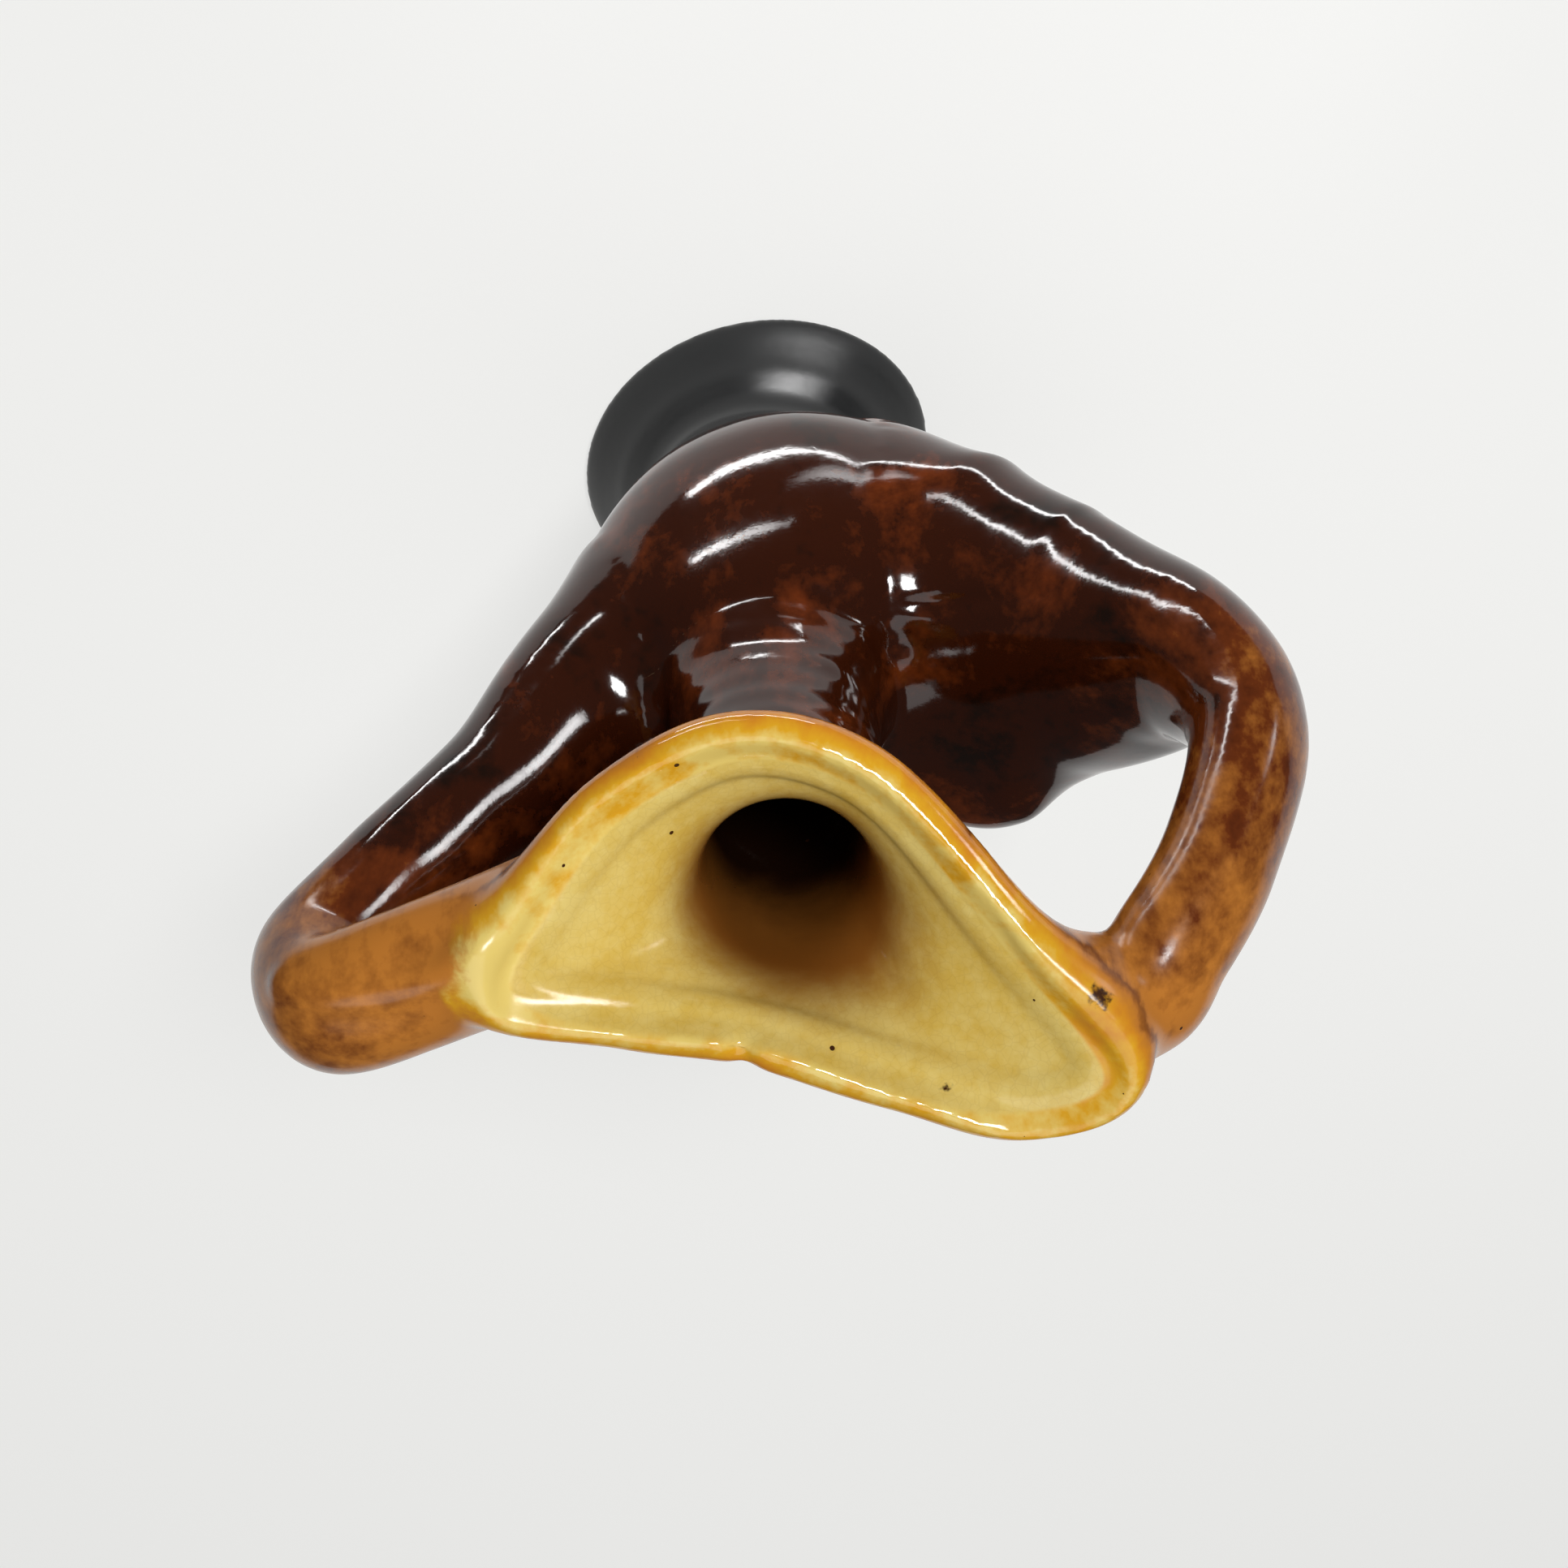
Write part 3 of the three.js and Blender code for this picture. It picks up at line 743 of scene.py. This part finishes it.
def glaze_material(name, colours, mirror):
    """Glossy stoneware glaze that pools dark, thins to red and amber, and breaks yellow on the rim."""
    material, add = new_material(name)
    place = add("TexCoord", out="Object")
    height = add("SeparateXYZ", {"Vector": place}, out="Z")
    inside, throat, rim_gap, across, above, tip, corner, burn = (
        add("Attribute", out="Fac", attribute_name=key)
        for key in ("inside", "throat", "rim_gap", "rim_across", "rim_above", "tip", "corner", "burn")
    )

    # Slow clouds, glaze runs that follow the fall of the wall, and fine mottling
    clouds = {"Scale": per_metre(26), "Detail": 5, "Roughness": 0.62, "Distortion": 0.4}
    cloud = add("TexNoise", {"Vector": place, **clouds})
    fall = add("Mapping", {"Vector": place, "Scale": (1, 1, 0.3)})
    run = add("TexNoise", {"Vector": fall, "Scale": per_metre(5), "Detail": 4, "Roughness": 0.6})
    fine = add("TexNoise", {"Vector": place, "Scale": per_metre(2.4), "Detail": 3, "Roughness": 0.6})
    stray, run_stray, fine_stray = (
        add("Math", {0: noise, 1: 0.5}, operation="SUBTRACT") for noise in (cloud, run, fine)
    )

    # Treacle glaze: nearly black where it is thick, red where it is thin
    thin = add("Math", {0: run_stray, 1: 0.3, 2: cloud}, **SUM)
    thin = add("Math", {0: fine_stray, 1: 0.22, 2: thin}, **SUM)
    treacle = (
        (0.3, colours.treacle_dark_and_throat_shade),
        (0.43, colours.treacle),
        (0.53, colours.treacle),
        (0.72, colours.treacle_red),
    )
    skin = add("ValToRGB", {"Fac": thin}, stops=treacle)

    # Black glaze pooled on the foot, with an uneven upper edge
    level = add("Math", {0: stray, 1: 0.03, 2: height}, **SUM)
    pooled = add("MapRange", {"Value": level, 1: 0.036, 2: 0.06, 3: 1, 4: 0}, **SOFT)
    skin = add("Mix", {"Factor": pooled, 6: skin, 7: (*colours.black, 1)}, **COLOUR)

    # Amber glaze on the arms, in runs that get paler towards the mouth
    reach = add("Math", {0: stray, 1: 0.55, 2: tip}, **SUM)
    reach = add("Math", {0: run_stray, 1: 0.55, 2: reach}, **SUM)
    amber = ((0.3, colours.treacle), (0.52, colours.amber_dark), (0.8, colours.amber))
    mottled = add("Math", {0: fine_stray, 1: 0.2, 2: reach}, **SUM)
    warm = add("ValToRGB", {"Fac": mottled}, stops=amber)
    on_arm = add("MapRange", {"Value": reach, 1: 0.28, 2: 0.42}, **SOFT)
    skin = add("Mix", {"Factor": on_arm, 6: skin, 7: warm}, **COLOUR)

    # Rim: cream on its inner edge, yellow on top, orange and brown outside and where the left arm comes in
    edge = across
    for drift, width in ((stray, 9), (run_stray, 8), (corner, 4.5)):
        edge = add("Math", {0: drift, 1: width, 2: edge}, **SUM)
    yellow = (
        (0.12, colours.cream),
        (0.34, colours.yellow),
        (0.58, colours.orange),
        (0.78, colours.amber),
        (0.96, colours.amber_dark),
    )
    rim = add("ValToRGB", {"Fac": add("MapRange", {"Value": edge, 1: -4.7, 2: 6.3})}, stops=yellow)
    drip = add("Math", {0: run_stray, 1: 7, 2: rim_gap}, **SUM)
    near = add("MapRange", {"Value": drip, 1: 12.4, 2: 9.4}, **SOFT)
    top = add("MapRange", {"Value": edge, 1: 7.5, 2: 5}, **SOFT)
    on_rim = add("Math", {0: near, 1: top}, operation="MULTIPLY")
    skin = add("Mix", {"Factor": on_rim, 6: skin, 7: rim}, **COLOUR)

    # Honey glaze inside the mouth, finely crackled, browner glaze down the throat and painted shade deeper
    # in, where the neck falls dark
    patch = add("Math", {0: fine_stray, 1: 0.5, 2: cloud}, **SUM)
    honey = add("ValToRGB", {"Fac": patch}, stops=((0.35, colours.honey), (0.65, colours.honey_pale)))
    crackle = add("TexVoronoi", {"Vector": place, "Scale": per_metre(1.6)}, feature="DISTANCE_TO_EDGE")
    crack = add("MapRange", {"Value": crackle, 1: 0.07, 2: 0, 3: 0, 4: 0.1})
    honey = add("Mix", {"Factor": crack, 6: honey, 7: (*colours.toffee, 1)}, **COLOUR)
    throat = add("Math", {0: stray, 1: 14, 2: throat}, **SUM)
    # Down the throat the glaze turns toffee-brown, then the dark treacle colour paints the shade of the deep
    # neck
    for start, end, colour in ((43, 20, colours.toffee), (17, -8, colours.treacle_dark_and_throat_shade)):
        dark = add("MapRange", {"Value": throat, 1: start, 2: end}, **SOFT)
        honey = add("Mix", {"Factor": dark, 6: honey, 7: (*colour, 1)}, **COLOUR)
    within = add("MapRange", {"Value": inside, 1: 0.3, 2: 0.7}, **SOFT)
    below = add("MapRange", {"Value": above, 1: 7.2, 2: 4.6}, **SOFT)
    lining = add("Math", {0: within, 1: below}, operation="MULTIPLY")
    skin = add("Mix", {"Factor": lining, 6: skin, 7: honey}, **COLOUR)

    # Iron specks round the mouth, and burnt marks with ragged edges
    spots = {"Vector": place, "Scale": per_metre(8)}
    chance = add("SeparateColor", {"Color": add("TexVoronoi", spots, out="Color")}, out="Red")
    size = add("Math", {0: chance, 1: 0.07}, operation="MULTIPLY")
    speck = add("Math", {0: add("TexVoronoi", spots, out="Distance"), 1: size}, operation="LESS_THAN")
    mouth = add("MapRange", {"Value": rim_gap, 1: 30, 2: 20})
    mouth = add("Math", {0: mouth, 1: within}, operation="MAXIMUM")
    speck = add("Math", {0: speck, 1: mouth}, operation="MULTIPLY")
    scorch = add("Math", {0: fine_stray, 1: 1.6, 2: burn}, **SUM)
    scorch = add("MapRange", {"Value": scorch, 1: 0.4, 2: 0.75}, **SOFT)
    mark = add("Math", {0: speck, 1: scorch}, operation="MAXIMUM")
    skin = add("Mix", {"Factor": mark, 6: skin, 7: (*colours.speck, 1)}, **COLOUR)

    # Softer gloss on the thin amber and the thick black, slow dips of the hand and a faint orange peel
    gloss = add("Math", {0: fine_stray, 1: 0.08, 2: 0.09}, **SUM)
    dull = add("MapRange", {"Value": reach, 1: 0.45, 2: 0.7, 3: 0, 4: 0.14}, **SOFT)
    dull = add("Math", {0: pooled, 1: 0.16, 2: dull}, **SUM)
    dip = add("TexNoise", {"Vector": place, "Scale": per_metre(15), "Detail": 1})
    dips = add("Bump", {"Height": dip, "Strength": 0.2, "Distance": 0.5 * MM})
    peel = add("Bump", {"Height": fine, "Normal": dips, "Strength": 0.12, "Distance": 0.2 * MM})
    rough = add("Math", {0: gloss, 1: dull}, operation="ADD")
    look = {"Base Color": skin, "Roughness": rough, "Normal": peel}
    shader = add("BsdfPrincipled", {**look, "IOR": 1.5, "Specular IOR Level": mirror})
    add("OutputMaterial", {"Surface": shader})
    return material


def clay_material():
    """Fired stoneware, parted: a dry, open buff with coarse grog, where one member meets the next."""
    material, add = new_material("fired_stoneware_body")
    place = add("TexCoord", out="Object")
    grog = add("TexNoise", {"Vector": place, "Scale": per_metre(1.2)})
    colour = add("ValToRGB", {"Fac": grog}, stops=((0.4, linear("8a7458")), (0.6, linear("a8916f"))))
    add("OutputMaterial", {"Surface": add("BsdfPrincipled", {"Base Color": colour, "Roughness": 0.9})})
    return material


def read(rows, key, width=1, kind=float):
    """One property of every row of a mesh."""
    values = np.empty(len(rows) * width, kind)
    rows.foreach_get(key, values)
    return values.reshape(-1, width) if width > 1 else values


def nearest_place(points, places):
    """Distance from each point to the nearest of some places, and which one that is."""
    gap = np.full(len(points), np.inf)
    station = np.zeros(len(points), int)
    for index, place in enumerate(places):
        away = np.linalg.norm(points - place, axis=1)
        closer = away < gap
        gap[closer] = away[closer]
        station[closer] = index
    return gap, station


def spot_strength(points, spots):
    """1 in the middle of the nearest spot, and less the further off."""
    away = [np.linalg.norm(points - place, axis=1) / radius for place, radius in spots]
    return np.exp(-(np.min(away, axis=0) ** 2))


def glaze_guides(mesh):
    """Stores how far down the mouth, how near the rim and how far along an arm each point lies."""
    points = read(mesh.vertices, "co", 3) / MM
    vessel = WORKSHOP["vessel"]
    depth = WORKSHOP["grid"].sample(WORKSHOP["filled"], points)
    from_foot = points - vessel.funnel_centre
    radius = np.hypot(from_foot[:, 0], from_foot[:, 1])
    rim_gap, station = nearest_place(points, vessel.point)
    offset = points - vessel.point[station]
    tip = np.zeros(len(points))
    for arm, course in WORKSHOP["courses"].items():
        gap, step = nearest_place(points, course[:int(ARM_END * len(course)):2])
        share = 2 * step / len(course)
        close = smooth_step(gap, ARM_GLAZE["start"], ARM_GLAZE["full"])
        # The right arm's larger factor lightens its amber as painted light, where that arm gets less light
        tip = np.maximum(tip, ARM_AMBER_AND_PAINTED_LIGHT[arm] * share * close)
    guides = {
        "inside": smooth_step(depth, 1.5, -1.5),
        # Depth down the throat that the brown glaze and the painted throat shade follow
        "throat": from_foot[:, 2] + 0.8 * radius - 0.5 * from_foot[:, 1],
        "rim_gap": rim_gap,
        "rim_across": (offset * vessel.out[station]).sum(1),
        "rim_above": (offset * vessel.up[station]).sum(1),
        "tip": tip,
        "corner": spot_strength(points, AMBER_CORNER),
        "burn": spot_strength(points, BURNT_MARKS),
    }
    for name, values in guides.items():
        mesh.attributes.new(name, "FLOAT", "POINT").data.foreach_set("value", values.astype(np.float32))


def keep_skin_normals(mesh):
    """Gives the glazed faces the shading of the unparted clay, so that no seam shows."""
    tree, triangles, skin, normals = (WORKSHOP[key] for key in ("tree", "triangles", "skin", "normals"))
    points = read(mesh.vertices, "co", 3)
    face = np.array([tree.find_nearest(point)[2] for point in points.tolist()])
    one, two, three = (skin[triangles[face, k]] for k in range(3))
    across = np.cross(two - one, three - one)
    size = (across * across).sum(1)
    share_two = (np.cross(points - one, three - one) * across).sum(1) / size
    share_three = (np.cross(two - one, points - one) * across).sum(1) / size
    shares = np.clip(np.stack([1 - share_two - share_three, share_two, share_three], 1), 0, 1)
    at_point = sum(shares[:, k:k + 1] * normals[triangles[face, k]] for k in range(3))
    mesh.polygons.foreach_set("use_smooth", [True] * len(mesh.polygons))
    sizes = read(mesh.polygons, "loop_total", kind=int)
    bare = np.repeat(read(mesh.polygons, "material_index", kind=int), sizes) == 1
    flat = np.repeat(read(mesh.polygons, "normal", 3), sizes, axis=0)
    corners = unit(at_point[read(mesh.loops, "vertex_index", kind=int)])
    mesh.normals_split_custom_set(np.where(bare[:, None], flat, corners).tolist())


def cell_object(node):
    """The space that a member takes up in the fused clay."""
    return mesh_object(f"{node}_cell", *WORKSHOP["grid"].surface(WORKSHOP["cells"][node], step=2))


def part_member(node, cutter):
    """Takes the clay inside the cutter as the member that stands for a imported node."""
    whole = WORKSHOP["whole"]
    for material in whole.data.materials:
        cutter.data.materials.append(material)
    cutter.data.polygons.foreach_set("material_index", [1] * len(cutter.data.polygons))
    mesh = cut(whole, cutter, "INTERSECT")
    rest = cut(whole, cutter, "DIFFERENCE")
    bpy.data.objects.remove(cutter)
    whole.data = rest
    finish_member(node, mesh)


def drop_crumbs(mesh):
    """Removes the loose slivers that a cut can leave."""
    form = bmesh.new()
    form.from_mesh(mesh)
    waiting = set(form.verts)
    while waiting:
        crumb, front = set(), {next(iter(waiting))}
        while front:
            crumb |= front
            front = {edge.other_vert(v) for v in front for edge in v.link_edges} - crumb
        waiting -= crumb
        if len(crumb) < FEWEST_CORNERS:
            bmesh.ops.delete(form, geom=list(crumb), context="VERTS")
    form.to_mesh(mesh)
    form.free()


def finish_member(node, mesh):
    """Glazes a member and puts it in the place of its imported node."""
    drop_crumbs(mesh)
    if not mesh.polygons:
        raise RuntimeError(f"{node} has no clay left")
    slots = {part["node"]: part["material_slot"] for part in frame["record"]["subparts"]}
    glaze_guides(mesh)
    keep_skin_normals(mesh)
    mesh.materials[0] = WORKSHOP["glazes"][slots[node]]
    piece = new_object(f"{node}_glazed", mesh)
    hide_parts(node)
    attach(piece, "root")


class VASE_OT_fuse_clay(bpy.types.Operator):
    """Fuse the thrown wall, the rim and the arms into one skin of clay"""

    bl_idname = "vase.fuse_clay"
    bl_label = "Fuse the clay"

    def execute(self, context):
        clay = context.scene.vase_clay
        vessel = Vessel(clay)
        corners = np.array([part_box(node) for node in frame["nodes"]]) / MM
        grain = clay.grain / MM
        grid = ClayGrid(grain, corners[:, 0].min(0), corners[:, 1].max(0), reach=GRID_REACH * grain)
        wall = grid.distance(vessel.wall_rings())
        filled = grid.distance(vessel.filled_rings(lid=PLUG))
        rim = grid.distance(vessel.rim_rings(clay), closed=True)
        arms, courses = {}, {}
        for name, lower, upper, corner in (
            ("left_arm", LEFT_ARM_LOWER, LEFT_ARM_UPPER, "left_corner"),
            ("right_arm", RIGHT_ARM_LOWER, RIGHT_ARM_UPPER, "right_corner"),
        ):
            courses[name], sections = arm_course(vessel, lower, upper, corner)
            arms[name] = grid.trim(grid.distance(arm_rings(courses[name], sections)), filled)
        pot = fuse(wall, rim, clay.rim_lute / MM)
        lute = grid.lute_width(clay, filled, vessel)
        field = pot
        for arm in arms.values():
            field = fuse(field, arm, lute)
        field += grid.wobble(clay.wobble / MM)
        field += grid.throwing_rings(filled, vessel)
        for pinch in PINCHES:
            grid.press(field, *pinch)
        self.keep_skin(*self.worked_skin(grid, field, rim, clay.smoothing))
        forms = {name: (arm, pot) for name, arm in arms.items()}
        forms["rim_coil"] = (rim, wall)
        cells = {
            node: np.maximum(form - other + CELL_GAP, form - CELL_REACH)
            for node, (form, other) in forms.items()
        }
        glazes = {
            slot: glaze_material(name, context.scene.vase_glaze, mirror)
            for slot, (name, mirror) in GLAZES.items()
        }
        WORKSHOP.update(grid=grid, filled=filled, courses=courses, vessel=vessel, cells=cells, glazes=glazes)
        return {"FINISHED"}

    def worked_skin(self, grid, field, rim, passes):
        """Corners and quads of the sponged and marked skin, flat underneath."""
        points, quads = grid.surface(field)
        points = sponge(points, quads, 2)
        from_rim = grid.sample(rim, points)
        points = sponge(points, quads, passes, smooth_step(from_rim, 1, 6)[:, None])
        points = mark_skin(points, quads.astype(int))
        points[:, 2] = np.maximum(points[:, 2], 0)
        return points, quads

    def keep_skin(self, points, quads):
        """Makes the unparted clay, and keeps what the shading of its members is read from."""
        whole = mesh_object("fused_clay", points, quads)
        whole.data.materials.append(None)
        whole.data.materials.append(clay_material())
        triangles = np.concatenate([quads[:, [0, 1, 2]], quads[:, [0, 2, 3]]]).astype(int)
        skin = read(whole.data.vertices, "co", 3)
        normals = read(whole.data.vertex_normals, "vector", 3)
        tree = BVHTree.FromPolygons(skin.tolist(), triangles.tolist(), all_triangles=True)
        WORKSHOP.update(whole=whole, tree=tree, triangles=triangles, skin=skin, normals=normals)


class VASE_OT_arms(bpy.types.Operator):
    """Part the two looped arms from the clay and glaze them"""

    bl_idname = "vase.arms"
    bl_label = "Arms"

    def execute(self, context):
        for node in ("left_arm", "right_arm"):
            part_member(node, cell_object(node))
        return {"FINISHED"}


class VASE_OT_rim(bpy.types.Operator):
    """Part the rolled rim from the clay and glaze it"""

    bl_idname = "vase.rim"
    bl_label = "Rim"

    def execute(self, context):
        part_member("rim_coil", cell_object("rim_coil"))
        return {"FINISHED"}


class VASE_OT_thrown_wall(bpy.types.Operator):
    """Part the thrown wall into base, foot, body, neck and mouth and glaze them"""

    bl_idname = "vase.thrown_wall"
    bl_label = "Thrown wall"

    def execute(self, context):
        stack = ("base_slab", "foot_flare", "body", "neck", "mouth_funnel")
        for node, upper in zip(stack, stack[1:]):
            seam = (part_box(node)[1].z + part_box(upper)[0].z) / 2 / MM
            part_member(node, box_object(f"{node}_cell", SLICE_LOW, (*SLICE_FAR, seam)))
        whole = WORKSHOP.pop("whole")
        finish_member(stack[-1], whole.data)
        bpy.data.objects.remove(whole)
        return {"FINISHED"}


class VASE_OT_stage(bpy.types.Operator):
    """Set the pale floor, the soft studio lamps and the camera of the photograph"""

    bl_idname = "vase.stage"
    bl_label = "Stage"

    def execute(self, context):
        setting = context.scene.vase_stage
        self.lay_floor(setting)
        self.light_room(context.scene, setting)
        for name, lamp in LAMPS.items():
            self.hang_lamp(name, *lamp)
        self.place_camera(context.scene, setting)
        context.scene.view_settings.view_transform = "Standard"
        return {"FINISHED"}

    def lay_floor(self, setting):
        """Covers the table with bleached cotton: matt, even and white to the eye and in the glaze.

        The weave is drawn coarser than the half millimetre of real cotton, which is too fine for this view.
        """
        (left, front), (right, back) = FLOOR_CORNERS
        corners = np.array(((left, front, 0), (right, front, 0), (right, back, 0), (left, back, 0)), float)
        floor = mesh_object("pale_floor", corners, np.array(((0, 1, 2, 3),)))
        material, add = new_material("bleached_cotton_cloth")
        place = add("TexCoord", out="Object")
        weave = add("TexNoise", {"Vector": place, "Scale": per_metre(1.5)})
        bump = add("Bump", {"Height": weave, "Strength": 0.1, "Distance": 0.2 * MM})
        cloth = add("BsdfPrincipled", {"Base Color": (*setting.floor, 1), "Roughness": 0.9, "Normal": bump})
        seen = add("LightPath", out="Is Camera Ray")
        for ray in ("Is Glossy Ray", "Is Transmission Ray"):
            seen = add("Math", {0: seen, 1: add("LightPath", out=ray)}, operation="MAXIMUM")
        share = add("Math", {0: seen, 1: setting.glow}, operation="MULTIPLY")
        white = add("Emission", {"Color": (*setting.floor, 1)})
        add("OutputMaterial", {"Surface": add("MixShader", {0: share, 1: cloth, 2: white})})
        floor.data.materials.append(material)

    def light_room(self, scene, setting):
        """Fills the room with an even, dim light, and shows a pale wall to the camera alone."""
        scene.world = bpy.data.worlds.new("even_room")
        scene.world.use_nodes = True
        scene.world.node_tree.nodes.clear()
        add = partial(put, scene.world.node_tree)
        room = add("Background", {"Color": (1, 1, 1, 1), "Strength": setting.world})
        wall = add("Background", {"Color": (*setting.backdrop, 1)})
        seen = add("MixShader", {0: add("LightPath", out="Is Camera Ray"), 1: room, 2: wall})
        add("OutputWorld", {"Surface": seen})

    def hang_lamp(self, name, place, aim, size, opening, brightness):
        """Hangs a softbox. A grid brightens the middle of its beam, and the last factor takes that back."""
        half = math.radians(opening)
        data = bpy.data.lights.new(name, "AREA")
        data.shape = "RECTANGLE"
        data.size, data.size_y = size[0] * MM, size[1] * MM
        data.spread = 2 * half
        data.energy = brightness * math.pi * data.size * data.size_y * (1 - half / math.tan(half))
        lamp = new_object(name, data)
        lamp.location = Vector(place) * MM
        lamp.rotation_euler = (Vector(aim) - Vector(place)).to_track_quat("-Z", "Y").to_euler()
        lamp.visible_camera = False

    def place_camera(self, scene, setting):
        """Looks at the vase as the photograph does."""
        camera = new_object("camera", bpy.data.cameras.new("camera"))
        camera.location = Vector(CAMERA_PLACE) * MM
        level = (Vector(CAMERA_AIM) - Vector(CAMERA_PLACE)).to_track_quat("-Z", "Y")
        camera.rotation_euler = (level @ Quaternion((0, 0, 1), setting.roll)).to_euler()
        camera.data.sensor_width = SENSOR
        camera.data.lens = setting.lens
        camera.data.clip_start = 0.01
        scene.camera = camera


class VASE_PT_sidebar(bpy.types.Panel):
    """Sizes, colours and steps of the vase"""

    bl_idname = "VASE_PT_sidebar"
    bl_label = "Stoneware vase"
    bl_space_type = "VIEW_3D"
    bl_region_type = "UI"
    bl_category = "Vase"

    def draw(self, context):
        scene = context.scene
        for group in (scene.vase_clay, scene.vase_glaze, scene.vase_stage):
            box = self.layout.box()
            for key in group.__annotations__:
                box.prop(group, key)
        for operator in OPERATORS:
            self.layout.operator(operator.bl_idname)


GROUPS = {"vase_clay": VaseClay, "vase_glaze": VaseGlaze, "vase_stage": VaseStage}
OPERATORS = (VASE_OT_fuse_clay, VASE_OT_arms, VASE_OT_rim, VASE_OT_thrown_wall, VASE_OT_stage)


def register():
    """Makes the settings, the steps and the panel known to Blender."""
    for kind in (*GROUPS.values(), *OPERATORS, VASE_PT_sidebar):
        bpy.utils.register_class(kind)
    for key, group in GROUPS.items():
        setattr(bpy.types.Scene, key, PointerProperty(type=group))


def unregister():
    """Takes them out again."""
    for key in GROUPS:
        delattr(bpy.types.Scene, key)
    for kind in (VASE_PT_sidebar, *reversed(OPERATORS), *GROUPS.values()):
        bpy.utils.unregister_class(kind)


def main():
    """Runs every step in order."""
    register()
    bpy.ops.vase.fuse_clay()
    bpy.ops.vase.arms()
    bpy.ops.vase.rim()
    bpy.ops.vase.thrown_wall()
    bpy.ops.vase.stage()


if __name__ == "__main__":
    main()
